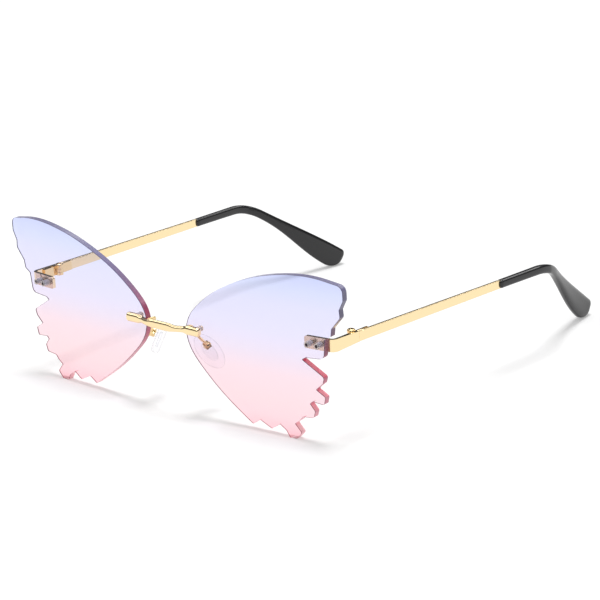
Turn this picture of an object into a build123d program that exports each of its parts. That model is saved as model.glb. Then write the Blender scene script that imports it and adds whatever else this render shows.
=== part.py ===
from build123d import *
from math import asin, cos, radians, sin, sqrt
import os

os.makedirs("parts", exist_ok=True)

# Rimless butterfly sunglasses, open and standing on the lens tails and the temple tips.
# Millimetres, +Z up, the face looks along -Y, the wearer's left is +X.
# The left side is built piece by piece and the right side is its mirror image.

# Lens: one bowed sheet per eye, cut to the outline of a butterfly wing
lens_gap = 18.4
lens_width = 65.6
lens_height = 54.7
lens_thickness = 2.2
lens_bow_radius = 430.0
lens_wrap = 3.0
bow_middle_share = 0.47
tooth_unit = 1.0

# Bridge: a turned bar on the front of both lenses, a post through each lens
bridge_height = 29.5
bridge_post_inset = 4.4
bridge_bar_height = 3.0
bridge_bar_depth = 2.1
bridge_bow = 1.3
bridge_shoulder_height = 0.3
bridge_shoulder_radius = 1.25
bridge_end_lap = 2.8
collar_inset = 1.2
collar_height = 3.5
collar_width = 0.7
collar_front_gap = 0.12

# Fixings: posts in clear sleeves, nuts behind the bridge
post_radius = 0.55
sleeve_wall = 0.42
sleeve_proud = 0.25
nut_width = 2.9
nut_height = 1.1

# End piece: a strip that lies behind the lens and turns back to the hinge
hardware_height = 32.4
end_hole_inset = 52.7
end_hole_pitch = 3.8
strip_thickness = 1.1
plate_lap = 4.4
plate_height = 4.1
joint_height = 3.4
arm_reach = 68.6
arm_length = 11.2
arm_bend_radius = 1.6
temple_splay = 1.0

# Hinge: two knuckles on the front leaf, one on the rear leaf, a domed screw from above
knuckle_radius = 1.25
knuckle_stack = 3.2
middle_knuckle_share = 0.36
hinge_set_forward = 1.1
leaf_length = 6.2
leaf_thickness = 0.7
screw_radius = 0.6
screw_head_radius = 1.35
screw_head_height = 0.8
screw_slot_width = 0.4
screw_slot_depth = 0.35

# Temple: a flat strip, then a round core inside the plastic tip
temple_slope = 1.7
strip_length = 68.6
strip_end_height = 2.8
core_radius = 0.6
core_end_share = 0.72

# Temple tip: a sleeve that turns down and inwards into a broad paddle
tip_bend_at = 94.5
tip_bend_radius = 25.0
paddle_run = 36.5
paddle_tuck = 12.1
paddle_lift = 2.56
paddle_height = 7.3
paddle_thickness = 3.4
tip_end_rounding = 1.15

# Nose pads: a wire arm, a box with a cross screw, and a soft pad on a hard core
pad_reach = 11.5
pad_setback = 6.9
pad_height = 19.8
pad_length = 13.2
pad_width = 7.2
pad_thickness = 2.8
pad_rounding = 1.1
pad_lug_offset = 2.0
pad_lug_standoff = 1.1
pad_lug_thickness = 0.9
pad_lug_radius = 0.75
pad_core_length = 7.4
pad_core_width = 3.4
pad_core_thickness = 0.7
box_ear_thickness = 0.5
box_ear_radius = 0.8
box_length = 2.6
box_back_thickness = 0.5
pad_screw_radius = 0.35
pad_screw_head_radius = 0.65
pad_screw_head_height = 0.4
arm_wire_radius = 0.45
arm_ring_radius = 1.6
arm_ring_thickness = 0.6
arm_tab_radius = 0.7
arm_step_back = 2.7
arm_step_out = 0.6
arm_step_down = 0.7
arm_drop = 3.2
arm_wire_bend = 1.1
arm_foot_radius = 0.75
arm_foot_thickness = 0.35

# Clearances
seat_gap = 0.03
hole_gap = 0.03
running_gap = 0.05
knuckle_gap = 0.06
joint_gap = 0.2
cut_overrun = 1.0

# Unit directions of a nose pad: along its length upwards, and out of the face that meets the nose
pad_up = Vector(-0.60, -0.24, 0.76)
pad_face = Vector(-0.746, 0.512, -0.426)

# The wing outline as shares of the lens width and height, from the inner edge and the floor:
# the smooth edge runs up past the nose and over the top
smooth_edge_shares = [
    (0.367, 0.066), (0.213, 0.194), (0.087, 0.327), (0.029, 0.408), (0.000, 0.530),
    (0.023, 0.612), (0.085, 0.695), (0.203, 0.800), (0.345, 0.886), (0.485, 0.946),
    (0.630, 0.984), (0.774, 1.000), (0.919, 0.985),
]

# Each corner of the torn outer edge: across, up, and its rounding in tooth units
torn_edge_shares = [
    (1.000, 0.969, 2.4), (1.000, 0.888, 1.5), (0.974, 0.830, 0.3), (0.977, 0.784, 1.2),
    (0.924, 0.711, 0.4), (0.918, 0.664, 0.6), (0.881, 0.640, 0.5), (0.869, 0.519, 2.0),
    (0.759, 0.512, 0.3), (0.738, 0.497, 0.3), (0.864, 0.408, 1.0), (0.854, 0.371, 1.0),
    (0.811, 0.327, 0.3), (0.864, 0.289, 0.5), (0.854, 0.241, 0.6), (0.785, 0.250, 0.4),
    (0.770, 0.234, 0.3), (0.799, 0.192, 0.8), (0.787, 0.150, 0.8), (0.721, 0.144, 0.6),
    (0.701, 0.117, 0.5), (0.671, 0.093, 0.3), (0.710, 0.042, 0.8), (0.675, 0.000, 0.8),
    (0.636, 0.000, 0.5), (0.616, 0.040, 1.2), (0.576, 0.071, 0.3), (0.526, 0.031, 0.8),
    (0.453, 0.071, 0.8), (0.407, 0.035, 0.6),
]

# Bridge sections from one end to the middle: place as a share of the half length,
# height and depth as shares of the bar's, and how much of the bow has been reached
bridge_section_shares = [
    (1.000, 0.62, 0.50, 0.00), (0.965, 0.94, 0.76, 0.00), (0.860, 1.00, 0.84, 0.02),
    (0.700, 0.90, 0.84, 0.14), (0.520, 0.74, 0.92, 0.55), (0.260, 0.80, 1.00, 0.90),
    (0.000, 0.82, 1.00, 1.00),
]

# Tip sections: place along the tip, height and thickness as shares of the paddle's
tip_section_shares = [
    (0.00, 0.44, 0.62), (0.16, 0.46, 0.70), (0.34, 0.50, 0.80), (0.50, 0.60, 0.90),
    (0.70, 0.78, 0.98), (0.88, 0.96, 1.00), (1.00, 1.00, 0.94),
]
tip_corner_share = 0.46

# Places that several pieces share
bow_inset = lens_width * bow_middle_share
wrap = radians(lens_wrap)
face = Plane(
    origin=(lens_gap / 2 + bow_inset * cos(wrap), 0, 0),
    x_dir=(cos(wrap), sin(wrap), 0),
    z_dir=(sin(wrap), -cos(wrap), 0),
)
sleeve_radius = post_radius + hole_gap + sleeve_wall
lens_hole_radius = sleeve_radius + hole_gap


def lens_spot(inset, height, depth):
    """Plane that touches the bowed sheet: inset from its inner edge, depth behind its front."""
    turn = asin((inset - bow_inset) / lens_bow_radius)
    radius = lens_bow_radius - depth
    place = Vector(radius * sin(turn), height, radius * cos(turn) - lens_bow_radius)
    angle = wrap + turn
    return Plane(
        origin=face.from_local_coords(place),
        x_dir=(cos(angle), sin(angle), 0),
        z_dir=(sin(angle), -cos(angle), 0),
    )


def wing_point(across_share, up_share):
    """Point of the wing outline on the face plane."""
    return (across_share * lens_width - bow_inset, up_share * lens_height)


# End piece path, seen from above: behind the lens, round the corner, back to the hinge
end_spot = lens_spot(end_hole_inset, hardware_height, lens_thickness + seat_gap)
end_plate_mid = end_spot.offset(-strip_thickness / 2)
splay = radians(temple_splay)
backwards = Vector(sin(splay), cos(splay), 0)
outwards = Vector(cos(splay), -sin(splay), 0)
plate_start = end_plate_mid.origin - end_plate_mid.x_dir * plate_lap
plate_run = (arm_reach - strip_thickness / 2 - plate_start.X) / end_plate_mid.x_dir.X
arm_corner = plate_start + end_plate_mid.x_dir * plate_run
arm_end = arm_corner + backwards * arm_length

# Hinge axis and the temple's own plane: back along the temple, up, and outwards
hinge_inward = strip_thickness / 2 + seat_gap + knuckle_radius
hinge_point = arm_end - backwards * hinge_set_forward - outwards * hinge_inward
hinge = Plane(origin=hinge_point, x_dir=backwards, z_dir=(0, 0, 1))
slope = radians(temple_slope)
temple_back = Vector(sin(splay) * cos(slope), cos(splay) * cos(slope), -sin(slope))
temple = Plane(origin=arm_end + backwards * joint_gap, x_dir=temple_back, z_dir=outwards)

# Bridge post and nose pad places
bridge_spot = lens_spot(bridge_post_inset, bridge_height, 0)
bridge_back = lens_spot(bridge_post_inset, bridge_height, lens_thickness + seat_gap)
pad = Plane(origin=(pad_reach, pad_setback, pad_height), x_dir=pad_up, z_dir=pad_face)
lug_drop = pad_thickness / 2 + pad_lug_standoff
lug_point = pad.from_local_coords(Vector(pad_lug_offset, 0, -lug_drop))
lug = Plane(origin=lug_point, x_dir=-pad.x_dir, z_dir=pad.y_dir)

# Left lens: the sheet is a band of a large cylinder, cut to the wing and drilled
with BuildPart() as left_lens:
    with BuildSketch(face):
        with BuildLine():
            smooth = [wing_point(across, up) for across, up in smooth_edge_shares]
            torn = [wing_point(across, up) for across, up, rounding in torn_edge_shares]
            roundings = [rounding * tooth_unit for across, up, rounding in torn_edge_shares]
            Spline(*smooth)
            FilletPolyline(smooth[-1], *torn, smooth[0], radius=roundings)
        make_face()
    extrude(amount=lens_width / 4, both=True)
    with BuildSketch(Plane(origin=face.origin - face.z_dir * lens_bow_radius)):
        Circle(lens_bow_radius)
        Circle(lens_bow_radius - lens_thickness, mode=Mode.SUBTRACT)
    extrude(amount=lens_height + cut_overrun, mode=Mode.INTERSECT)
    with BuildSketch(end_spot.offset(cut_overrun + lens_thickness)):
        with GridLocations(end_hole_pitch, end_hole_pitch, 2, 1):
            Circle(lens_hole_radius)
    extrude(amount=-lens_thickness - 2 * cut_overrun, mode=Mode.SUBTRACT)
    with BuildSketch(bridge_spot.offset(cut_overrun)):
        Circle(lens_hole_radius)
    extrude(amount=-lens_thickness - 2 * cut_overrun, mode=Mode.SUBTRACT)

# Bridge: lofted bar with a collar near each end and a shouldered post behind each end
bar_seat = bridge_bar_depth * bridge_section_shares[2][2] / 2 + bridge_shoulder_height
bar_line = bridge_spot.origin.Y - bar_seat
bar_half = bridge_spot.origin.X + bridge_end_lap
post_reach = lens_thickness + seat_gap + arm_ring_thickness + seat_gap + nut_height / 2
far_side = [(-place, tall, deep, bow) for place, tall, deep, bow in bridge_section_shares]
bar_sections = bridge_section_shares + far_side[-2::-1]
with BuildPart() as bridge:
    for place, tall, deep, bow in bar_sections:
        centre = (place * bar_half, bar_line - bow * bridge_bow, bridge_height)
        with BuildSketch(Plane(origin=centre, x_dir=(0, 1, 0), z_dir=(1, 0, 0))):
            Ellipse(deep * bridge_bar_depth / 2, tall * bridge_bar_height / 2)
    loft()
    for side in (-1, 1):
        collar_place = side * (bar_half - collar_inset) - collar_width / 2
        with BuildSketch(Plane.YZ.offset(collar_place)):
            with Locations((bar_line, bridge_height)):
                Ellipse(bar_seat - collar_front_gap, collar_height / 2)
        extrude(amount=collar_width)
    for side in (-1, 1):
        spot = Vector(side * bridge_spot.origin.X, bridge_spot.origin.Y, bridge_height)
        axis = Vector(-side * bridge_spot.z_dir.X, -bridge_spot.z_dir.Y, 0)
        start = spot - axis * bar_seat
        with BuildSketch(Plane(origin=start, z_dir=axis)):
            Circle(bridge_shoulder_radius)
        extrude(amount=bar_seat - seat_gap)
        with BuildSketch(Plane(origin=start, z_dir=axis)):
            Circle(post_radius)
        extrude(amount=bar_seat + post_reach)

# Clear sleeves that line the drilled holes
with BuildPart() as left_bridge_sleeve:
    with BuildSketch(bridge_spot.offset(-seat_gap)):
        Circle(sleeve_radius)
        Circle(post_radius + hole_gap, mode=Mode.SUBTRACT)
    extrude(amount=-lens_thickness + seat_gap)

with BuildPart() as left_end_sleeves:
    with BuildSketch(end_spot.offset(seat_gap)):
        with GridLocations(end_hole_pitch, end_hole_pitch, 2, 1):
            Circle(sleeve_radius)
            Circle(post_radius + hole_gap, mode=Mode.SUBTRACT)
    extrude(amount=lens_thickness + sleeve_proud)

# Cap nut on the end of each bridge post
with BuildPart() as left_bridge_nut:
    with BuildSketch(bridge_back.offset(-arm_ring_thickness - seat_gap)):
        RegularPolygon(nut_width / 2, 6, major_radius=False)
    extrude(amount=-nut_height)
    chamfer(left_bridge_nut.faces().sort_by(Axis.Y)[-1].edges(), nut_height / 5)
    with BuildSketch(bridge_back):
        Circle(post_radius + hole_gap)
    extrude(amount=-arm_ring_thickness - nut_height / 2 - 2 * seat_gap, mode=Mode.SUBTRACT)

# End piece: swept strip, tapered to the joint, with two posts through the lens
with BuildPart() as left_end_piece:
    with BuildLine() as end_path:
        FilletPolyline(plate_start, arm_corner, arm_end, radius=arm_bend_radius)
    with BuildSketch(Plane(origin=plate_start, x_dir=(0, 0, 1), z_dir=end_plate_mid.x_dir)):
        Rectangle(plate_height, strip_thickness)
    sweep(path=end_path.line)
    taper_start = arm_corner.Y + arm_bend_radius
    side_room = plate_start.Y - strip_thickness
    with BuildSketch(Plane.YZ.offset(plate_start.X - cut_overrun)):
        Polygon(
            (side_room, hardware_height - plate_height / 2),
            (taper_start, hardware_height - plate_height / 2),
            (arm_end.Y, hardware_height - joint_height / 2),
            (arm_end.Y + cut_overrun, hardware_height - joint_height / 2),
            (arm_end.Y + cut_overrun, hardware_height + joint_height / 2),
            (arm_end.Y, hardware_height + joint_height / 2),
            (taper_start, hardware_height + plate_height / 2),
            (side_room, hardware_height + plate_height / 2),
            align=None,
        )
    extrude(amount=arm_reach - plate_start.X + 2 * cut_overrun, mode=Mode.INTERSECT)
    plate_corners = left_end_piece.faces().sort_by(Axis.X)[0].edges().sort_by(Axis.Z)
    fillet([plate_corners[0], plate_corners[-1]], plate_height / 5)
    with BuildSketch(end_spot.offset(-strip_thickness / 2)):
        with GridLocations(end_hole_pitch, end_hole_pitch, 2, 1):
            Circle(post_radius)
    extrude(amount=strip_thickness / 2 + seat_gap + lens_thickness + sleeve_proud / 2)

# Hinge leaves: a plate on the inner face of the strip, and its knuckles on the axis
middle_height = knuckle_stack * middle_knuckle_share
swing_radius = knuckle_radius + running_gap * 3
bottom = hinge.offset(-knuckle_stack / 2)
with BuildPart() as left_front_hinge_leaf:
    with BuildSketch(bottom):
        Circle(knuckle_radius)
        with Locations((0, -knuckle_radius)):
            Rectangle(leaf_length, leaf_thickness, align=(Align.MAX, Align.MIN))
        Circle(screw_radius + hole_gap, mode=Mode.SUBTRACT)
    extrude(amount=knuckle_stack)
    with BuildSketch(hinge.offset(-middle_height / 2 - knuckle_gap)):
        Circle(swing_radius)
    extrude(amount=middle_height + 2 * knuckle_gap, mode=Mode.SUBTRACT)

with BuildPart() as left_rear_hinge_leaf:
    with BuildSketch(bottom):
        with Locations((hinge_set_forward + joint_gap, -knuckle_radius)):
            Rectangle(leaf_length - hinge_set_forward, leaf_thickness, align=Align.MIN)
        Circle(swing_radius, mode=Mode.SUBTRACT)
    extrude(amount=knuckle_stack)
    with BuildSketch(hinge.offset(-middle_height / 2)):
        Circle(knuckle_radius)
        with Locations((0, -knuckle_radius)):
            Rectangle(leaf_length / 2, leaf_thickness, align=Align.MIN)
        Circle(screw_radius + running_gap, mode=Mode.SUBTRACT)
    extrude(amount=middle_height)

# Hinge screw: shank through the knuckles, domed slotted head above
with BuildPart() as left_hinge_screw:
    with BuildSketch(bottom):
        Circle(screw_radius)
    extrude(amount=knuckle_stack + screw_head_height / 2)
    head_seat = hinge.offset(knuckle_stack / 2 + seat_gap)
    with BuildSketch(head_seat):
        Circle(screw_head_radius)
    extrude(amount=screw_head_height)
    fillet(left_hinge_screw.edges().group_by(Axis.Z)[-1], screw_head_height * 0.7)
    with BuildSketch(head_seat.offset(screw_head_height - screw_slot_depth)):
        Rectangle(3 * screw_head_radius, screw_slot_width)
    extrude(amount=screw_slot_depth + cut_overrun, mode=Mode.SUBTRACT)

# Temple: tapered strip, then a round core that follows the tip's bend
paddle_rise = (paddle_lift - temple.origin.Z + (tip_bend_at + paddle_run) * sin(slope)) / cos(slope)
tip_start = temple.from_local_coords(Vector(strip_length, 0, 0))
tip_corner = temple.from_local_coords(Vector(tip_bend_at, 0, 0))
tip_end = temple.from_local_coords(Vector(tip_bend_at + paddle_run, paddle_rise, -paddle_tuck))
core_start = temple.from_local_coords(Vector(strip_length - core_radius, 0, 0))
core_end = tip_corner + (tip_end - tip_corner) * core_end_share
with BuildPart() as left_temple:
    with BuildSketch(temple):
        Polygon(
            (0, -joint_height / 2),
            (strip_length - seat_gap, -strip_end_height / 2),
            (strip_length - seat_gap, strip_end_height / 2),
            (0, joint_height / 2),
            align=None,
        )
    extrude(amount=strip_thickness / 2, both=True)
    with BuildLine() as core_path:
        FilletPolyline(core_start, tip_corner, core_end, radius=tip_bend_radius)
    with BuildSketch(Plane(origin=core_start, z_dir=temple_back)):
        Circle(core_radius)
    sweep(path=core_path.line)

# Temple tip: lofted through rounded sections along the same bend, bored for the core
with BuildPart() as left_temple_tip:
    with BuildLine() as tip_path:
        FilletPolyline(tip_start, tip_corner, tip_end, radius=tip_bend_radius)
    for place, tall, thick in tip_section_shares:
        heading = tip_path.line % place
        level = heading.cross(Vector(0, 0, 1)).normalized()
        with BuildSketch(Plane(origin=tip_path.line @ place, x_dir=level, z_dir=heading)):
            breadth = thick * paddle_thickness
            RectangleRounded(breadth, tall * paddle_height, breadth * tip_corner_share)
    loft()
    fillet(left_temple_tip.faces().sort_by(Axis.Y)[-1].edges(), tip_end_rounding)
    with BuildLine() as bore_path:
        FilletPolyline(core_start, tip_corner, core_end, radius=tip_bend_radius)
    with BuildSketch(Plane(origin=core_start, z_dir=temple_back)):
        Circle(core_radius + hole_gap)
    sweep(path=bore_path.line, mode=Mode.SUBTRACT)

# Nose pad arm: ring on the bridge post, bent wire, and a foot on the back of the box
box_back = pad_lug_radius + running_gap + box_back_thickness
foot_plane = Plane(
    origin=lug_point - pad.z_dir * (box_back + seat_gap),
    x_dir=pad.x_dir,
    z_dir=-pad.z_dir,
)
wire_below = nut_width / sqrt(3) + arm_wire_radius + running_gap
wire_start = bridge_back.origin + Vector(0, arm_ring_thickness / 2, -wire_below)
wire_corner = wire_start + Vector(arm_step_out, arm_step_back, -arm_step_down)
wire_knee = foot_plane.origin + Vector(arm_step_out, 0, arm_drop / 2)
wire_foot = foot_plane.origin + foot_plane.z_dir * arm_foot_thickness
with BuildPart() as left_pad_arm:
    with BuildSketch(bridge_back):
        Circle(arm_ring_radius)
        SlotCenterPoint((0, -wire_below / 2), (0, -wire_below), 2 * arm_tab_radius)
        Circle(post_radius + hole_gap, mode=Mode.SUBTRACT)
    extrude(amount=-arm_ring_thickness)
    with BuildLine() as wire_path:
        FilletPolyline(wire_start, wire_corner, wire_knee, wire_foot, radius=arm_wire_bend)
    with BuildSketch(Plane(origin=wire_start, z_dir=wire_corner - wire_start)):
        Circle(arm_wire_radius)
    sweep(path=wire_path.line)
    with BuildSketch(foot_plane):
        Circle(arm_foot_radius)
    extrude(amount=arm_foot_thickness)

# Pad box: two ears and a back, open towards the pad
ear_gap = pad_lug_thickness / 2 + running_gap
box_width = 2 * (ear_gap + box_ear_thickness)
with BuildPart() as left_pad_box:
    with BuildSketch(lug.offset(-box_width / 2)):
        Circle(box_ear_radius)
        with Locations((0, 0)):
            Rectangle(2 * box_ear_radius, box_back, align=(Align.CENTER, Align.MAX))
        with Locations((0, -box_back)):
            Rectangle(box_length, box_back_thickness, align=(Align.CENTER, Align.MIN))
        Circle(pad_screw_radius + hole_gap, mode=Mode.SUBTRACT)
    extrude(amount=box_width)
    with BuildSketch(lug.offset(-ear_gap)):
        with Locations((0, -box_back + box_back_thickness)):
            Rectangle(box_length, 3 * box_back, align=(Align.CENTER, Align.MIN))
    extrude(amount=2 * ear_gap, mode=Mode.SUBTRACT)

with BuildPart() as left_pad_screw:
    with BuildSketch(lug.offset(-box_width / 2)):
        Circle(pad_screw_radius)
    extrude(amount=box_width + pad_screw_head_height / 2)
    with BuildSketch(lug.offset(box_width / 2 + seat_gap)):
        Circle(pad_screw_head_radius)
    extrude(amount=pad_screw_head_height)

# Pad core: a hard oval inside the pad with the lug that the cross screw holds
with BuildPart() as left_pad_core:
    with BuildSketch(pad.offset(-pad_core_thickness / 2)):
        Ellipse(pad_core_length / 2, pad_core_width / 2)
    extrude(amount=pad_core_thickness)
    with BuildSketch(lug.offset(-pad_lug_thickness / 2)):
        Circle(pad_lug_radius)
        Rectangle(2 * pad_lug_radius, lug_drop, align=(Align.CENTER, Align.MIN))
        Circle(pad_screw_radius + running_gap, mode=Mode.SUBTRACT)
    extrude(amount=pad_lug_thickness)

# Nose pad: soft rounded oval, hollow where the core and its lug sit
with BuildPart() as left_nose_pad:
    with BuildSketch(pad.offset(-pad_thickness / 2)):
        Ellipse(pad_length / 2, pad_width / 2)
    extrude(amount=pad_thickness)
    fillet(left_nose_pad.edges(), pad_rounding)
    with BuildSketch(pad.offset(-pad_core_thickness / 2 - hole_gap)):
        Ellipse(pad_core_length / 2 + hole_gap, pad_core_width / 2 + hole_gap)
    extrude(amount=pad_core_thickness + 2 * hole_gap, mode=Mode.SUBTRACT)
    with BuildSketch(pad):
        with Locations((pad_lug_offset, 0)):
            Rectangle(2 * (pad_lug_radius + hole_gap), pad_lug_thickness + 2 * hole_gap)
    extrude(amount=-pad_thickness, mode=Mode.SUBTRACT)

left_pieces = {
    "lens": left_lens,
    "bridge_sleeve": left_bridge_sleeve,
    "end_sleeves": left_end_sleeves,
    "bridge_nut": left_bridge_nut,
    "end_piece": left_end_piece,
    "front_hinge_leaf": left_front_hinge_leaf,
    "rear_hinge_leaf": left_rear_hinge_leaf,
    "hinge_screw": left_hinge_screw,
    "temple": left_temple,
    "temple_tip": left_temple_tip,
    "pad_arm": left_pad_arm,
    "pad_box": left_pad_box,
    "pad_screw": left_pad_screw,
    "pad_core": left_pad_core,
    "nose_pad": left_nose_pad,
}

# The origin goes to the middle of the depth, on the floor
reach = [piece.part.bounding_box() for piece in [bridge, *left_pieces.values()]]
front_most = min(box.min.Y for box in reach)
rear_most = max(box.max.Y for box in reach)
to_origin = Location((0, -(front_most + rear_most) / 2, 0))


def write(piece, name):
    """Move a finished piece to the shared origin, label it and write it."""
    placed = piece.part.moved(to_origin)
    placed.label = name
    export_step(placed, f"parts/{name}.step")
    print(name, [round(c, 3) for c in (*placed.bounding_box().min, *placed.bounding_box().max)])


write(bridge, "bridge")
for name, piece in left_pieces.items():
    write(piece, "left_" + name)
    with BuildPart() as other_side:
        mirror(piece.part, about=Plane.YZ)
    write(other_side, "right_" + name)

print("moved", to_origin.position)
print("hinge", to_origin * Location(hinge_point))
print("lug", lug_point + to_origin.position, "axis", lug.z_dir)
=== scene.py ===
import math

import bmesh
import bpy
import numpy as np
from mathutils import Matrix, Vector


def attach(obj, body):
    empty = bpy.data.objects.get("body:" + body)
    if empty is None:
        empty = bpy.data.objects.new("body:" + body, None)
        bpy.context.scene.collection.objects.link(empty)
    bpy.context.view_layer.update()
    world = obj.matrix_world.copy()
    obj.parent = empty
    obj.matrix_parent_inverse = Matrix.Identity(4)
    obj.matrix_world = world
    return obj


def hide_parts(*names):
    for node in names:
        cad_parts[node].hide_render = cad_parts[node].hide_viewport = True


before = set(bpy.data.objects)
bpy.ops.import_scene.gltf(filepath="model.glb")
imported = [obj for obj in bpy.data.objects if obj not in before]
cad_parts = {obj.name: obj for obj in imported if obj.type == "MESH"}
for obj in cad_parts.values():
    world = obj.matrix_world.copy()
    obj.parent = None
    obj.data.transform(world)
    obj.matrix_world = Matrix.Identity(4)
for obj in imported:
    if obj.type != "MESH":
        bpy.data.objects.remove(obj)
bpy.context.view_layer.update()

MM = 0.001
SIDES = ("left", "right")

# The camera, fitted to the photograph: it looks at AIM from this side and height
AIM = Vector((60.33, -72.78, 47.70)) * MM
DISTANCE = 925.5 * MM
AZIMUTH = math.radians(43.42)
ELEVATION = math.radians(17.94)
ROLL = math.radians(-3.89)
FOCAL_LENGTH, SENSOR_WIDTH = 180.0, 36.0
NEAREST_SEEN, FARTHEST_SEEN = 0.05, 20.0

# Lenses: the height that their colours follow, and the upright axis that the left one is bent
# round, with the radius of its front. The right lens is its mirror image
LENS_TOP = 54.7 * MM
BOW_CENTRE = (17.49 * MM, 357.15 * MM, 0)
BOW_RADIUS = 430.0 * MM
LENS_THICKNESS = 2.2 * MM
# The width of the painted shade line along the edges' front corner
RIM_LINE = 0.35 * MM

# Lens finish: how far forwards or backwards a face looks at least, and how far upwards an edge
# looks where the painted light on top edges begins and where it is full
FACE_TURN = 0.7
TOP_EDGE_FROM, TOP_EDGE_FULL = 0.1, 0.6
# How strongly the cut edge's painted glow shines, and the reflections inside the sheet between
# which it vanishes
CUT_PAINTED_GLOW = 0.15
INNER_MIRROR_FROM, INNER_MIRROR_FULL = 0.5, 0.9
# How a face mirrors: straight on, how much more edgeways, and how late that rises
FACE_MIRROR_STRAIGHT, FACE_MIRROR_EDGEWAYS, FACE_STEEPNESS = 0.025, 0.5, 5.0

# Drilled holes, the end piece's pair and the bridge's: distance from the middle, half the width
# that they take, and height. Then half the height they take, and how white their walls are
HOLES = ((61.7 * MM, 3.3 * MM, 32.4 * MM), (13.55 * MM, 1.3 * MM, 29.5 * MM))
HOLE_REACH = 1.3 * MM
HOLE_WHITENESS = 0.3

# Other finishes: the real size and depth of each pattern, how late thin plastic turns glossy
# edgeways, the colour of the plate, and the dark colour painted on the pins as shade
BUFFING_MARKS, BUFFING_DEPTH = 0.6 * MM, 0.02 * MM
TUMBLED_RIPPLE, TUMBLED_DEPTH = 3.0 * MM, 0.05 * MM
PLASTIC_STEEPNESS = 3.0
GOLD_PLATE, PIN_PAINTED_SHADE = "#FAE2B3", "#40363C"

# Temple tip, left side: its start, its corner and its end, then half heights above and below its
# line and half thickness by the share of its length, all in mm
TIP_PATH = ((69.45, 12.85, 30.36), (69.9, 39.2, 29.6), (57.2, 75.3, 2.0))
TIP_BEND, TIP_BEND_SHARE = 20.0, 0.36
TIP_TUCK = 1.6
TIP_ABOVE = ((0, 1.45), (0.4, 1.5), (1, 3.0))
TIP_BELOW = ((0, 1.45), (0.46, 1.6), (0.9, 5.2))
TIP_HALF_THICK = ((0, 1.25), (0.35, 1.3), (0.9, 1.7))
TIP_TOP_ROUNDING, TIP_LOW_ROUNDING = 1.8, 6.5
TIP_MOUTH_ROUNDING, TIP_MOUTH_EASING = 0.7, 0.3
TIP_FULLNESS, TIP_RINGS = 3.0, 120

# Temple strip, left side: its front end, its direction, then length and half height, all in mm
STRIP_START, STRIP_BACK = (68.249, -55.715, 32.4), (0.017445, 0.999408, -0.029666)
STRIP_LENGTH, STRIP_HALF_THICK = 70.6, 0.55
STRIP_HALF_HEIGHT = ((0, 1.7), (1, 1.4))
STRIP_FULLNESS, STRIP_RINGS = 10.0, 24

# Bridge rod: half heights, half depths and share of the bow by the distance from its middle, in mm
ROD_HALF, ROD_HEIGHT, ROD_LINE, ROD_BOW = 16.35, 29.5, -74.0, 1.3
ROD_TALL = ((0, 1.45), (3.2, 1.45), (7.2, 1.02), (9.0, 1.02), (11.4, 1.55), (15.2, 1.55))
ROD_DEEP = ((0, 0.85), (4.0, 0.85), (8.0, 1.0), (11.4, 1.2), (15.2, 1.2))
ROD_BOWED = ((5.2, 1.0), (11.0, 0.0))
ROD_ROUNDING, ROD_END_EASING = 0.8, 0.75
ROD_FULLNESS, ROD_RINGS = 2.4, 241

# Bridge posts, left side: where one enters the lens, how it leans outwards, its shoulder before
# the lens and its spread end behind it, all in mm
POST_SPOT, POST_LEAN = (13.55, -72.83, 29.5), 0.009
POST_RADIUS, POST_BEFORE, POST_REACH = 0.55, 1.1, 2.45
SHOULDER_RADIUS, SHOULDER_LENGTH = 1.25, 1.08
RIVET_OFFSET, RIVET_RADIUS, RIVET_HEIGHT = (0.02, 2.25, 0), 0.95, 0.4

# Pad arm wire: from the rod's back, past the lens edge, to the foot on the box, in mm
WIRE_PATH = ((8.1, -74.2, 29.4), (8.1, -69.2, 29.2), (11.2, -69.2, 25.6), (13.53, -68.05, 23.17))
WIRE_RADIUS, WIRE_BEND, WIRE_RINGS, WIRE_AROUND = 0.45, 1.2, 80, 20
FOOT_SPOT, FOOT_AXIS = (13.156, -67.799, 22.956), (0.746, -0.512, 0.426)
FOOT_RADIUS, FOOT_THICKNESS = 0.8, 0.5

# The fullness of a round section, and the points of a rounded corner
ROUND, BEND_POINTS = 2.0, 24

# Studio: the floor's size in metres and its glow, the lamp's strength, width and lean backwards,
# the plain light all round, and the bright ring by its height in the sky, as a share
FLOOR_SIZE, FLOOR_GLOW = 6.0, 0.29
LAMP_STRENGTH, LAMP_WIDTH, LAMP_TILT = 1.65, math.radians(18), math.radians(6)
AMBIENT_LIGHT = 0.5
RING_HEIGHT, RING_HALF_WIDTH, RING_EXTRA = 0.62, 0.035, 4.0


def linear(hex_code):
    """sRGB hex text to linear RGBA: the sRGB curve is undone channel by channel."""
    channels = [int(hex_code[i:i + 2], 16) / 255 for i in (1, 3, 5)]
    return [c / 12.92 if c <= 0.04045 else ((c + 0.055) / 1.055) ** 2.4 for c in channels] + [1.0]


def add(tree, kind, sockets=(), stops=(), **settings):
    """Adds one node: sockets maps names or numbers to values or links, stops fill its ramp."""
    node = tree.nodes.new(kind)
    for name, value in settings.items():
        setattr(node, name, value)
    for name, value in dict(sockets).items():
        if isinstance(value, bpy.types.NodeSocket):
            tree.links.new(value, node.inputs[name])
        else:
            node.inputs[name].default_value = value
    for index, (place, hex_code) in enumerate(stops):
        ramp = node.color_ramp.elements
        stop = ramp[index] if index < 2 else ramp.new(place)
        stop.position, stop.color = place, linear(hex_code)
    return node


def new_material(name):
    """An empty node material, its tree and its output."""
    material = bpy.data.materials.new(name)
    material.use_nodes = True
    material.node_tree.nodes.clear()
    return material, material.node_tree, add(material.node_tree, "ShaderNodeOutputMaterial")


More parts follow.
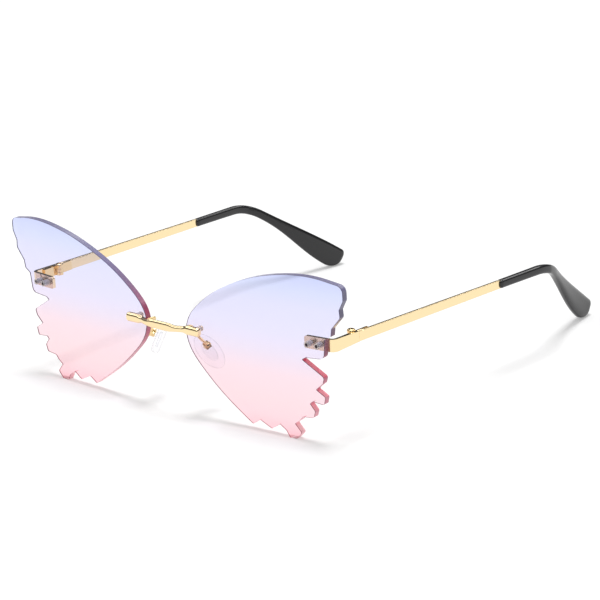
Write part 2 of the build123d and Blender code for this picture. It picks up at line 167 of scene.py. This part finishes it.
def wear(tree, place, size_mm, low, high):
    """A soft noise of that size in millimetres, as a number from low to high."""
    noise = add(tree, "ShaderNodeTexNoise", {"Vector": place, "Scale": 1 / (size_mm * MM),
                                             "Detail": 3.0, "Roughness": 0.6})
    return add(tree, "ShaderNodeMapRange", {"Value": noise.outputs["Fac"], "From Min": 0.3,
                                            "From Max": 0.7, "To Min": low, "To Max": high})


def from_bow_centre(tree, spot):
    """How far a spot stands from the upright axis that the lenses are bent round."""
    beside = add(tree, "ShaderNodeMath", {0: spot.outputs["X"]}, operation="ABSOLUTE")
    flat_spot = add(tree, "ShaderNodeCombineXYZ", {0: beside.outputs[0], 1: spot.outputs["Y"]})
    return add(tree, "ShaderNodeVectorMath", {0: flat_spot.outputs[0], 1: BOW_CENTRE},
               operation="DISTANCE").outputs["Value"]


def polished_face(tree, half_tint):
    """The lens's faces tint what is behind them and mirror more the more edgeways they are seen."""
    sheet = add(tree, "ShaderNodeBsdfTransparent", {"Color": half_tint.outputs[0]})
    gloss = add(tree, "ShaderNodeBsdfGlossy", {"Roughness": 0.03})
    facing = add(tree, "ShaderNodeLayerWeight", {"Blend": 0.5})
    steep = add(tree, "ShaderNodeMath", {0: facing.outputs["Facing"], 1: FACE_STEEPNESS},
                operation="POWER")
    mirror = add(tree, "ShaderNodeMath", {0: steep.outputs[0], 1: FACE_MIRROR_EDGEWAYS,
                                          2: FACE_MIRROR_STRAIGHT}, operation="MULTIPLY_ADD")
    return add(tree, "ShaderNodeMixShader",
               {0: mirror.outputs[0], 1: sheet.outputs[0], 2: gloss.outputs[0]})


def cut_edge(tree, place, turn, height, half_tint):
    """The cut edge shows the tint's colour at full depth, with painted light making it brighter
    where it looks upwards, and a painted glow. From inside the sheet it reflects totally, so it
    isn't seen through the faces."""
    side_dye = add(tree, "ShaderNodeValToRGB", {0: height.outputs[0]}, stops=[
        (0.0, "#FFC4CB"), (1.0, "#7E7A90"), (0.1, "#FCB4BE"), (0.22, "#D88C9C"), (0.45, "#B85C74"),
        (0.55, "#863E5A"), (0.68, "#6C4A62"), (0.8, "#5F5A74"), (0.92, "#625E7C"),
    ])
    # Painted light: edges that look upwards take these brighter colours in place of the light that
    # falls on them
    top_edge_painted_light = add(tree, "ShaderNodeValToRGB", {0: height.outputs[0]}, stops=[
        (0.0, "#FFCCD2"), (1.0, "#7C7896"), (0.12, "#FFBAC2"), (0.24, "#FFA2B0"), (0.4, "#F87088"),
        (0.52, "#EC627C"), (0.6, "#A65272"), (0.74, "#7A6084"), (0.88, "#6E6A94"),
    ])
    upwards = add(tree, "ShaderNodeMapRange", {
        "Value": turn.outputs["Z"], "From Min": TOP_EDGE_FROM, "From Max": TOP_EDGE_FULL})
    # The edge colour mixed with the painted light by how far the edge looks upwards
    dye_and_painted_light = add(tree, "ShaderNodeMix", {0: upwards.outputs[0], 6: side_dye.outputs[0],
                                      7: top_edge_painted_light.outputs[0]}, data_type="RGBA")
    rough = wear(tree, place.outputs["Object"], size_mm=0.8, low=0.18, high=0.32)
    # Painted glow: the cut edge gives off light in its own colours, standing in for light that runs
    # inside the sheet and leaves at the edge
    cut = add(tree, "ShaderNodeBsdfPrincipled", {
        "Base Color": dye_and_painted_light.outputs[2], "Roughness": rough.outputs[0], "IOR": 1.58,
        "Emission Color": dye_and_painted_light.outputs[2], "Emission Strength": CUT_PAINTED_GLOW})
    clear = add(tree, "ShaderNodeBsdfTransparent", {"Color": half_tint.outputs[0]})
    inside = add(tree, "ShaderNodeFresnel", {"IOR": 2.0})
    hidden = add(tree, "ShaderNodeMapRange", {
        "Value": inside.outputs[0], "From Min": INNER_MIRROR_FROM, "From Max": INNER_MIRROR_FULL})
    return add(tree, "ShaderNodeMixShader",
               {0: hidden.outputs[0], 1: cut.outputs[0], 2: clear.outputs[0]})


def with_painted_rim_shade(tree, spot, height, edge):
    """Painted shade: a thin band of the edge along its front corner is painted darker, standing in
    for the dark line that a fine polished bevel shows there.
    """
    at_front = add(tree, "ShaderNodeMath", {0: from_bow_centre(tree, spot),
                                            1: BOW_RADIUS - RIM_LINE}, operation="GREATER_THAN")
    # Painted shade: darker colours for the thin line along the front corner, by height
    rim_shade_colour = add(tree, "ShaderNodeValToRGB", {0: height.outputs[0]}, stops=[
        (0.0, "#D8909E"), (1.0, "#6E6A86"), (0.2, "#B98492"), (0.5, "#8A6A80"), (0.8, "#706C8C"),
    ])
    rim = add(tree, "ShaderNodeBsdfDiffuse", {"Color": rim_shade_colour.outputs[0]})
    return add(tree, "ShaderNodeMixShader",
               {0: at_front.outputs[0], 1: edge.outputs[0], 2: rim.outputs[0]})


def drilled(tree, spot, edge):
    """The walls of the drilled holes are left matt white by the drill and let light through."""
    beside = add(tree, "ShaderNodeMath", {0: spot.outputs["X"]}, operation="ABSOLUTE")
    on_walls = 0.0
    for x, half_width, z in HOLES:
        near_x = add(tree, "ShaderNodeMath", {0: beside.outputs[0], 1: x, 2: half_width},
                     operation="COMPARE")
        near_z = add(tree, "ShaderNodeMath", {0: spot.outputs["Z"], 1: z, 2: HOLE_REACH},
                     operation="COMPARE")
        on_walls = add(tree, "ShaderNodeMath", {0: near_x.outputs[0], 1: near_z.outputs[0],
                                                2: on_walls}, operation="MULTIPLY_ADD").outputs[0]
    matt = add(tree, "ShaderNodeBsdfDiffuse", {"Color": linear("#FFFFFF")})
    open_wall = add(tree, "ShaderNodeBsdfTransparent", {"Color": linear("#FFFFFF")})
    wall = add(tree, "ShaderNodeMixShader",
               {0: HOLE_WHITENESS, 1: open_wall.outputs[0], 2: matt.outputs[0]})
    return add(tree, "ShaderNodeMixShader", {0: on_walls, 1: edge.outputs[0], 2: wall.outputs[0]})


def gradient_polycarbonate():
    """Tinted polycarbonate, cut and polished: a clear sheet, lilac at the top, that turns pink
    downwards, with glossy faces and deeply coloured edges. The edges also carry painted light where
    they look upwards, a painted glow and a thin painted dark line along their front corner."""
    material, tree, output = new_material("gradient_tinted_polycarbonate")
    place = add(tree, "ShaderNodeTexCoord")
    spot = add(tree, "ShaderNodeSeparateXYZ", {0: place.outputs["Object"]})
    turn = add(tree, "ShaderNodeSeparateXYZ", {0: place.outputs["Normal"]})
    height = add(tree, "ShaderNodeMath", {0: spot.outputs["Z"], 1: LENS_TOP}, operation="DIVIDE")
    tint = add(tree, "ShaderNodeValToRGB", {0: height.outputs[0]}, stops=[
        (0.0, "#FCC9D1"), (1.0, "#CED5FB"), (0.05, "#FED4DB"), (0.1, "#FEDCE2"), (0.2, "#FCDFE4"),
        (0.36, "#F9E1E9"), (0.5, "#EDE3F4"), (0.62, "#E6E3FB"), (0.8, "#E1E1FB"), (0.9, "#D8DEFB"),
    ])
    # Light crosses two faces, so each lets through the square root of the tint
    half_tint = add(tree, "ShaderNodeGamma", {"Color": tint.outputs[0], "Gamma": 0.5})
    face = polished_face(tree, half_tint)
    edge = cut_edge(tree, place, turn, height, half_tint)
    edge = with_painted_rim_shade(tree, spot, height, edge)
    edge = drilled(tree, spot, edge)

    # The faces look forwards or backwards, the edges and the hole walls don't
    flatness = add(tree, "ShaderNodeMath", {0: turn.outputs["Y"]}, operation="ABSOLUTE")
    is_face = add(tree, "ShaderNodeMath", {0: flatness.outputs[0], 1: FACE_TURN},
                  operation="GREATER_THAN")
    whole = add(tree, "ShaderNodeMixShader",
                {0: is_face.outputs[0], 1: edge.outputs[0], 2: face.outputs[0]})
    tree.links.new(whole.outputs[0], output.inputs["Surface"])
    return material


def polished_gold_plate(name, hex_code, roughness, pin_shade_hex=None):
    """Pale gold plating on nickel silver, buffed: a bright mirror with faint polishing marks.
    What stands inside the lens's thickness, which is the pins, can be painted dark as shade."""
    material, tree, output = new_material(name)
    place = add(tree, "ShaderNodeTexCoord")
    rough = wear(tree, place.outputs["Object"], size_mm=1.5, low=roughness * 0.7,
                 high=roughness * 1.4)
    marks = add(tree, "ShaderNodeTexNoise", {"Vector": place.outputs["Object"],
                                             "Scale": 1 / BUFFING_MARKS, "Detail": 2.0})
    bump = add(tree, "ShaderNodeBump", {"Height": marks.outputs["Fac"], "Strength": 0.02,
                                        "Distance": BUFFING_DEPTH})
    colour = linear(hex_code)
    # Painted shade: the pins inside the lens's thickness take a dark colour in place of the shade
    # in their holes
    if pin_shade_hex:
        spot = add(tree, "ShaderNodeSeparateXYZ", {0: place.outputs["Object"]})
        in_lens = add(tree, "ShaderNodeMath", {0: from_bow_centre(tree, spot),
                                               1: BOW_RADIUS - LENS_THICKNESS},
                      operation="GREATER_THAN")
        colour = add(tree, "ShaderNodeMix", {0: in_lens.outputs[0], 6: linear(hex_code),
                                             7: linear(pin_shade_hex)}, data_type="RGBA").outputs[2]
    metal = add(tree, "ShaderNodeBsdfPrincipled", {
        "Base Color": colour, "Metallic": 1.0, "Roughness": rough.outputs[0],
        "Normal": bump.outputs[0]})
    tree.links.new(metal.outputs[0], output.inputs["Surface"])
    return material


def polished_black_acetate():
    """Cellulose acetate sleeve, tumbled to a gloss: near black, with soft uneven reflections."""
    material, tree, output = new_material("polished_black_acetate")
    place = add(tree, "ShaderNodeTexCoord")
    rough = wear(tree, place.outputs["Object"], size_mm=2.0, low=0.06, high=0.14)
    ripple = add(tree, "ShaderNodeTexNoise", {"Vector": place.outputs["Object"],
                                              "Scale": 1 / TUMBLED_RIPPLE, "Detail": 1.0})
    bump = add(tree, "ShaderNodeBump", {"Height": ripple.outputs["Fac"], "Strength": 0.15,
                                        "Distance": TUMBLED_DEPTH})
    plastic = add(tree, "ShaderNodeBsdfPrincipled", {
        "Base Color": linear("#1F1F21"), "Roughness": rough.outputs[0], "IOR": 1.5,
        "Normal": bump.outputs[0]})
    tree.links.new(plastic.outputs[0], output.inputs["Surface"])
    return material


def thin_clear_plastic(name, hex_code, gloss_share, milk_share):
    """A thin clear moulding, a little milky: it is seen by its whiteness and by the gloss where
    it turns away from the eye."""
    material, tree, output = new_material(name)
    place = add(tree, "ShaderNodeTexCoord")
    rough = wear(tree, place.outputs["Object"], size_mm=0.5, low=0.05, high=0.15)
    passed = add(tree, "ShaderNodeBsdfTransparent", {"Color": linear(hex_code)})
    gloss = add(tree, "ShaderNodeBsdfGlossy", {"Roughness": rough.outputs[0]})
    facing = add(tree, "ShaderNodeLayerWeight", {"Blend": 0.5})
    steep = add(tree, "ShaderNodeMath", {0: facing.outputs["Facing"], 1: PLASTIC_STEEPNESS},
                operation="POWER")
    share = add(tree, "ShaderNodeMath", {0: steep.outputs[0], 1: gloss_share},
                operation="MULTIPLY")
    milk = add(tree, "ShaderNodeBsdfDiffuse", {"Color": linear("#FFFFFF")})
    cloudy = add(tree, "ShaderNodeMixShader",
                 {0: milk_share, 1: passed.outputs[0], 2: milk.outputs[0]})
    both = add(tree, "ShaderNodeMixShader",
               {0: share.outputs[0], 1: cloudy.outputs[0], 2: gloss.outputs[0]})
    tree.links.new(both.outputs[0], output.inputs["Surface"])
    return material


# Which finish each kind of piece has
gold = polished_gold_plate("polished_pale_gold_plate", GOLD_PLATE, roughness=0.10)
# The end piece, with painted shade on its pins
pinned_gold = polished_gold_plate("pale_gold_plate_with_painted_shade_on_pins", GOLD_PLATE,
                                  roughness=0.10, pin_shade_hex=PIN_PAINTED_SHADE)
fine_gold = polished_gold_plate("bright_gold_plated_hardware", "#F6D9A0", roughness=0.08)
acetate = polished_black_acetate()
silicone = thin_clear_plastic("clear_silicone", "#FEFEFF", gloss_share=0.8, milk_share=0.02)
clear_core = thin_clear_plastic("clear_polycarbonate_core", "#FFFFFF", gloss_share=0.02,
                                milk_share=0.0)
nylon = thin_clear_plastic("clear_nylon_sleeve", "#FBF9F9", gloss_share=0.2, milk_share=0.3)
finishes = {
    "lens": gradient_polycarbonate(),
    "end_piece": pinned_gold,
    "temple": gold,
    "bridge": gold,
    "front_hinge_leaf": fine_gold,
    "rear_hinge_leaf": fine_gold,
    "hinge_screw": fine_gold,
    "bridge_nut": fine_gold,
    "pad_arm": fine_gold,
    "pad_box": fine_gold,
    "pad_screw": fine_gold,
    "temple_tip": acetate,
    "nose_pad": silicone,
    "pad_core": clear_core,
    "bridge_sleeve": nylon,
    "end_sleeves": nylon,
}
for name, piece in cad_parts.items():
    kind = name.split("_", 1)[1] if name.startswith(SIDES) else name
    piece.data.materials.clear()
    piece.data.materials.append(finishes[kind])


def eased(place, table):
    """Values between a table's stops, each stretch half a cosine wave, so no stop is overshot:
    the value before plus the step to the next one times (1 - cos(pi * share)) / 2."""
    stops, values = np.array(table, float).T
    after = np.clip(np.searchsorted(stops, place, side="right"), 1, len(stops) - 1)
    share = np.clip((place - stops[after - 1]) / (stops[after] - stops[after - 1]), 0, 1)
    return values[after - 1] + (values[after] - values[after - 1]) * (1 - np.cos(np.pi * share)) / 2


def rounded_end(left, reach, easing=1.0):
    """The share of its full size that a section has with that much left to the end: a quarter
    ellipse, sqrt(1 - easing * (1 - left / reach)^2), which an easing of 1 closes completely."""
    return np.sqrt(1 - easing * np.clip(1 - left / reach, 0, 1) ** 2)


def rounded_path(corners, radius, count):
    """A line through the corners, each turned by a circular arc of that radius, as evenly spaced
    points: an arc point is the arc's start plus the radius times sin of the turned angle onwards
    and 1 - cos of it to the side."""
    corners = np.array(corners, float)
    run = [corners[:1]]
    for before, here, after in zip(corners, corners[1:], corners[2:]):
        inwards = (here - before) / np.linalg.norm(here - before)
        onwards = (after - here) / np.linalg.norm(after - here)
        turn = np.arccos(np.clip(inwards @ onwards, -1, 1))
        start = here - inwards * radius * np.tan(turn / 2)
        side = onwards - inwards * np.cos(turn)
        side /= np.linalg.norm(side)
        angle = np.linspace(0, turn, BEND_POINTS)[:, None]
        run.append(start + radius * (np.sin(angle) * inwards + (1 - np.cos(angle)) * side))
    run = np.concatenate(run + [corners[-1:]])
    length = np.concatenate([[0], np.cumsum(np.linalg.norm(np.diff(run, axis=0), axis=1))])
    even = np.linspace(0, length[-1], count)
    return np.stack([np.interp(even, length, run[:, axis]) for axis in range(3)], axis=1)


def carried(path, across, above, below, fullness, around=40):
    """Rings of a rounded section carried along a path: at angle a a ring stands
    cos(a)^(2/fullness) * across to the side and sin(a)^(2/fullness) * above or below upwards."""
    heading = np.gradient(path, axis=0)
    heading /= np.linalg.norm(heading, axis=1)[:, None]
    side = np.cross(heading, (0, 0, 1))
    side /= np.linalg.norm(side, axis=1)[:, None]
    upright = np.cross(side, heading)
    angle = np.linspace(0, 2 * np.pi, around, endpoint=False)
    out = np.sign(np.cos(angle)) * np.abs(np.cos(angle)) ** (2 / fullness)
    rise = np.sign(np.sin(angle)) * np.abs(np.sin(angle)) ** (2 / fullness)
    tall = np.where(rise > 0, above[:, None], below[:, None]) * rise
    wide = across[:, None] * out
    return path[:, None] + wide[..., None] * side[:, None] + tall[..., None] * upright[:, None]


def cylinder(foot, axis, radius, length, around=32):
    """Rings of a round peg from its foot along its axis, each the foot plus a step along the axis
    plus the radius times cos and sin of the angle. The last quarter radius is rounded off."""
    axis = np.array(axis, float) / np.linalg.norm(axis)
    side = np.cross(axis, (0, 0, 1))
    side /= np.linalg.norm(side)
    other = np.cross(side, axis)
    rounding = radius / 4
    steps = np.array([0, length - rounding, length - rounding / 4, length])
    radii = radius - rounding * np.array([0, 0, 0.35, 1.0])
    angle = np.linspace(0, 2 * np.pi, around, endpoint=False)[None, :, None]
    ring = np.cos(angle) * side + np.sin(angle) * other
    return np.array(foot) + steps[:, None, None] * axis + radii[:, None, None] * ring


def skin(parts, name, mirrored):
    """A closed mesh over each part's rings: four-sided faces between neighbouring rings, and a fan
    round the middle of the first and of the last ring. The right side is the left one mirrored."""
    places, faces, start = [], [], 0
    for rings in parts:
        count, around = rings.shape[:2]
        grid = np.arange(count * around).reshape(count, around)
        here, there = grid[:-1], grid[1:]
        quads = np.stack([here, there, np.roll(there, -1, 1), np.roll(here, -1, 1)], -1)
        first, last = count * around, count * around + 1
        near = np.stack([grid[0], np.roll(grid[0], -1), np.full(around, first)], -1)
        far = np.stack([grid[-1], np.full(around, last), np.roll(grid[-1], -1)], -1)
        places += [rings.reshape(-1, 3), rings[0].mean(0)[None], rings[-1].mean(0)[None]]
        for patch in (quads.reshape(-1, 4), near, far):
            faces += (patch + start).tolist()
        start += count * around + 2
    places = np.concatenate(places) * MM
    if mirrored:
        places = places * (-1, 1, 1)
    mesh = bpy.data.meshes.new(name)
    mesh.from_pydata(places.tolist(), [], faces)
    shape = bmesh.new()
    shape.from_mesh(mesh)
    bmesh.ops.recalc_face_normals(shape, faces=shape.faces)
    shape.to_mesh(mesh)
    shape.free()
    mesh.shade_smooth()
    piece = bpy.data.objects.new(name, mesh)
    bpy.context.scene.collection.objects.link(piece)
    return piece


def temple_tip(mirrored, name):
    """The tip: a rounded section carried down the bend and drawn inwards between bend and end by
    the parabola 4 * t * (1 - t). Its end is cut off slantwise by two quarter ellipses, a short one
    above and a long one below."""
    path = rounded_path(TIP_PATH, TIP_BEND, TIP_RINGS)
    length = np.linalg.norm(np.diff(path, axis=0), axis=1).sum()
    place = np.linspace(0, 1, len(path))
    after_bend = np.clip((place - TIP_BEND_SHARE) / (1 - TIP_BEND_SHARE), 0, 1)
    path[:, 0] -= TIP_TUCK * 4 * after_bend * (1 - after_bend)
    left = (1 - place) * length
    top_end = rounded_end(left, TIP_TOP_ROUNDING)
    low_end = rounded_end(left, TIP_LOW_ROUNDING)
    mouth = rounded_end(place * length, TIP_MOUTH_ROUNDING, TIP_MOUTH_EASING)
    across = eased(place, TIP_HALF_THICK) * top_end * mouth
    above = eased(place, TIP_ABOVE) * top_end * mouth
    below = eased(place, TIP_BELOW) * low_end * mouth
    return skin([carried(path, across, above, below, TIP_FULLNESS)], name, mirrored)


def temple_strip(mirrored, name):
    """The temple: a flat strip with eased edges that runs straight back and narrows evenly. It
    ends a little inside the tip."""
    place = np.linspace(0, 1, STRIP_RINGS)
    path = np.array(STRIP_START) + place[:, None] * STRIP_LENGTH * np.array(STRIP_BACK)
    tall = np.interp(place, *np.array(STRIP_HALF_HEIGHT, float).T)
    thick = np.full_like(place, STRIP_HALF_THICK)
    return skin([carried(path, thick, tall, tall, STRIP_FULLNESS)], name, mirrored)


def bridge_rod(name):
    """The bridge: an oval section carried along a line that steps forward in the middle by half a
    cosine wave, with its ends eased by quarter ellipses, and on each side a shoulder and a post."""
    away = np.linspace(-ROD_HALF, ROD_HALF, ROD_RINGS)
    place = np.abs(away)
    bow = eased(place, ROD_BOWED) * ROD_BOW
    path = np.stack([away, ROD_LINE - bow, np.full_like(away, ROD_HEIGHT)], axis=1)
    end = rounded_end(ROD_HALF - place, ROD_ROUNDING, ROD_END_EASING)
    tall, deep = eased(place, ROD_TALL) * end, eased(place, ROD_DEEP) * end
    parts = [carried(path, deep, tall, tall, ROD_FULLNESS)]
    for side in (-1, 1):
        foot = np.array(POST_SPOT) * (side, 1, 1) - (0, POST_BEFORE, 0)
        parts.append(cylinder(foot, (0, 1, 0), SHOULDER_RADIUS, SHOULDER_LENGTH))
        parts.append(cylinder(foot, (POST_LEAN * side, 1, 0), POST_RADIUS,
                              POST_BEFORE + POST_REACH))
    return skin(parts, name, False)


def post_rivet(mirrored, name):
    """The end of the bridge post behind the lens, spread to a low round head: a short peg."""
    foot = np.array(POST_SPOT) + np.array(RIVET_OFFSET)
    return skin([cylinder(foot, (POST_LEAN, 1, 0), RIVET_RADIUS, RIVET_HEIGHT)], name, mirrored)


def pad_wire(mirrored, name):
    """The pad arm: a round wire carried along a path with rounded corners, and its foot's disc."""
    path = rounded_path(WIRE_PATH, WIRE_BEND, WIRE_RINGS)
    radius = np.full(len(path), WIRE_RADIUS)
    wire = carried(path, radius, radius, radius, ROUND, WIRE_AROUND)
    foot = cylinder(FOOT_SPOT, FOOT_AXIS, FOOT_RADIUS, FOOT_THICKNESS)
    return skin([wire, foot], name, mirrored)


def stands_in(piece, node, body, material):
    """The piece takes its finish, rides its body and stands for that CAD node."""
    piece.data.materials.append(material)
    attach(piece, body)
    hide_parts(node)


# Forms that the CAD's plain solids have only roughly
stands_in(bridge_rod("bridge_twisted_rod"), "bridge", "front", gold)
for side in SIDES:
    mirrored = side == "right"
    stands_in(temple_tip(mirrored, side + "_paddle_tip"), side + "_temple_tip", side + "_side",
              acetate)
    stands_in(temple_strip(mirrored, side + "_temple_strip"), side + "_temple", side + "_side",
              gold)
    stands_in(post_rivet(mirrored, side + "_bridge_post_rivet"), side + "_bridge_nut", "front",
              fine_gold)
    stands_in(pad_wire(mirrored, side + "_pad_arm_wire"), side + "_pad_arm", "front",
              fine_gold)


def studio_floor():
    """A flat square of pale paint under the object. Its own glow makes it white to the camera,
    in reflections and through glass; without the glow it is lit plainly and keeps the shadow."""
    material, tree, output = new_material("pale_studio_floor")
    path = add(tree, "ShaderNodeLightPath")
    seen = add(tree, "ShaderNodeMath", {0: path.outputs["Is Camera Ray"],
                                        1: path.outputs["Is Glossy Ray"]}, operation="MAXIMUM")
    seen = add(tree, "ShaderNodeMath", {0: seen.outputs[0],
                                        1: path.outputs["Is Transmission Ray"]},
               operation="MAXIMUM")
    glow_strength = add(tree, "ShaderNodeMath", {0: seen.outputs[0], 1: FLOOR_GLOW},
                        operation="MULTIPLY")
    paint = add(tree, "ShaderNodeBsdfDiffuse", {"Color": linear("#E4E4E4")})
    glow = add(tree, "ShaderNodeEmission", {"Strength": glow_strength.outputs[0]})
    lit = add(tree, "ShaderNodeAddShader", {0: paint.outputs[0], 1: glow.outputs[0]})
    tree.links.new(lit.outputs[0], output.inputs["Surface"])

    half = FLOOR_SIZE / 2
    mesh = bpy.data.meshes.new("studio_floor")
    mesh.from_pydata([(-half, -half, 0), (half, -half, 0), (half, half, 0), (-half, half, 0)],
                     [], [(0, 1, 2, 3)])
    mesh.materials.append(material)
    floor = bpy.data.objects.new("studio_floor", mesh)
    bpy.context.scene.collection.objects.link(floor)
    return floor


def studio_world():
    """A white backdrop to the camera and through glass, and plain soft light for everything else.
    Reflections show a grey band above the horizon, where a studio's walls are, and high up a thin
    bright ring, as from a row of softboxes."""
    world = bpy.data.worlds.new("studio")
    world.use_nodes = True
    tree = world.node_tree
    tree.nodes.clear()
    output = add(tree, "ShaderNodeOutputWorld")
    path = add(tree, "ShaderNodeLightPath")
    sky = add(tree, "ShaderNodeTexCoord")
    sky_spot = add(tree, "ShaderNodeSeparateXYZ", {0: sky.outputs["Generated"]})
    band = add(tree, "ShaderNodeValToRGB", {0: sky_spot.outputs["Z"]}, stops=[
        (0.0, "#FFFFFF"), (1.0, "#FFFFFF"), (0.12, "#B0B0B0"), (0.26, "#303030"),
        (0.46, "#7C7C7C"), (0.7, "#FFFFFF"),
    ])
    in_ring = add(tree, "ShaderNodeMath", {0: sky_spot.outputs["Z"], 1: RING_HEIGHT,
                                           2: RING_HALF_WIDTH}, operation="COMPARE")
    brightness = add(tree, "ShaderNodeMath", {0: in_ring.outputs[0], 1: RING_EXTRA, 2: 1.0},
                     operation="MULTIPLY_ADD")
    walls = add(tree, "ShaderNodeBackground", {"Color": band.outputs[0],
                                               "Strength": brightness.outputs[0]})
    white = add(tree, "ShaderNodeBackground", {"Color": linear("#FFFFFF"), "Strength": 1.0})
    ambient = add(tree, "ShaderNodeBackground", {"Color": linear("#FFFFFF"),
                                                 "Strength": AMBIENT_LIGHT})
    backdrop = add(tree, "ShaderNodeMath", {0: path.outputs["Is Camera Ray"],
                                            1: path.outputs["Is Transmission Ray"]},
                   operation="MAXIMUM")
    shiny = add(tree, "ShaderNodeMixShader", {0: path.outputs["Is Glossy Ray"],
                                              1: ambient.outputs[0], 2: walls.outputs[0]})
    all_rays = add(tree, "ShaderNodeMixShader", {0: backdrop.outputs[0], 1: shiny.outputs[0],
                                                 2: white.outputs[0]})
    tree.links.new(all_rays.outputs[0], output.inputs["Surface"])
    return world


def overhead_softbox():
    """One soft lamp overhead, a little behind the lenses, as wide as a studio's large softbox."""
    lamp = bpy.data.lights.new("overhead_softbox", "SUN")
    lamp.energy, lamp.angle = LAMP_STRENGTH, LAMP_WIDTH
    softbox = bpy.data.objects.new("overhead_softbox", lamp)
    bpy.context.scene.collection.objects.link(softbox)
    softbox.rotation_mode = "QUATERNION"
    towards_lamp = Vector((0, math.sin(LAMP_TILT), math.cos(LAMP_TILT)))
    softbox.rotation_quaternion = towards_lamp.to_track_quat("Z", "Y")


def photo_camera():
    """The camera stands DISTANCE from AIM, turned by AZIMUTH round the upright from straight in
    front, raised by ELEVATION and rolled by ROLL about its own line of sight."""
    back = Vector((math.sin(AZIMUTH) * math.cos(ELEVATION),
                   -math.cos(AZIMUTH) * math.cos(ELEVATION), math.sin(ELEVATION)))
    level = Vector((math.cos(AZIMUTH), math.sin(AZIMUTH), 0))
    upright = back.cross(level)
    across = level * math.cos(ROLL) + upright * math.sin(ROLL)
    up = upright * math.cos(ROLL) - level * math.sin(ROLL)
    camera_data = bpy.data.cameras.new("photo_camera")
    camera_data.sensor_width, camera_data.lens = SENSOR_WIDTH, FOCAL_LENGTH
    camera_data.clip_start, camera_data.clip_end = NEAREST_SEEN, FARTHEST_SEEN
    camera = bpy.data.objects.new("photo_camera", camera_data)
    bpy.context.scene.collection.objects.link(camera)
    camera.matrix_world = Matrix.Translation(AIM + back * DISTANCE) @ Matrix(
        (across, up, back)).transposed().to_4x4()
    return camera


floor = studio_floor()
bpy.context.scene.world = studio_world()
overhead_softbox()
camera = photo_camera()
bpy.context.scene.camera = camera
bpy.context.scene.view_settings.view_transform = "Standard"
